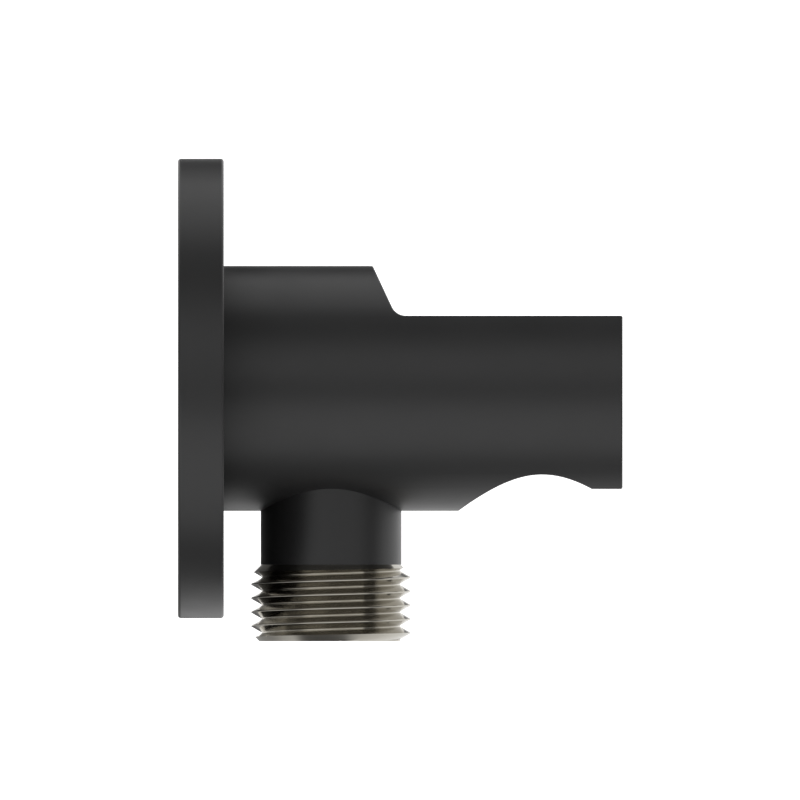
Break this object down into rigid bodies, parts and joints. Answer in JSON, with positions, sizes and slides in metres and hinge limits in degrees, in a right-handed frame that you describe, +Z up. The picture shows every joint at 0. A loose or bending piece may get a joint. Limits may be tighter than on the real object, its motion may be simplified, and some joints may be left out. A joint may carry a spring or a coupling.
{
  "type": "wall outlet elbow",
  "caption": "Round wall elbow in matt black with a hose outlet pointing down, a check valve inside and an open tapered holder for a hand shower.",
  "frame": {"origin": "centre of the flange's back face, on the wall's surface and on the body's axis", "axes": "+X out of the wall along the body's axis, +Z up, and the outlet points along -Z"},
  "size_m": [0.0581, 0.06, 0.063],
  "materials": {
    "black_coating": "matt",
    "bright_plating": "polished",
    "seal_rubber": "matt",
    "foam": "matt",
    "valve_plastic": "satin",
    "spring_steel": "satin"
  },
  "bodies": {
    "elbow": {"elbow_body": "black_coating", "wall_flange": "black_coating", "wall_gasket": "foam", "flange_o_ring": "seal_rubber", "inlet_washer": "seal_rubber", "outlet_nipple": "bright_plating", "nipple_o_ring": "seal_rubber", "valve_housing": "valve_plastic", "valve_o_ring": "seal_rubber", "valve_spring": "spring_steel", "valve_guide": "valve_plastic"},
    "plunger": {"valve_plunger": "valve_plastic", "valve_seal": "seal_rubber"}
  },
  "joints": [
    {"name": "valve_travel", "type": "slide", "parent": "elbow", "child": "plunger", "axis": [0, 0, -1], "range_m": [0, 0.0025], "stiffness_N_per_m": 80, "springref_m": -0.003, "deforming": ["valve_spring"]}
  ]
}
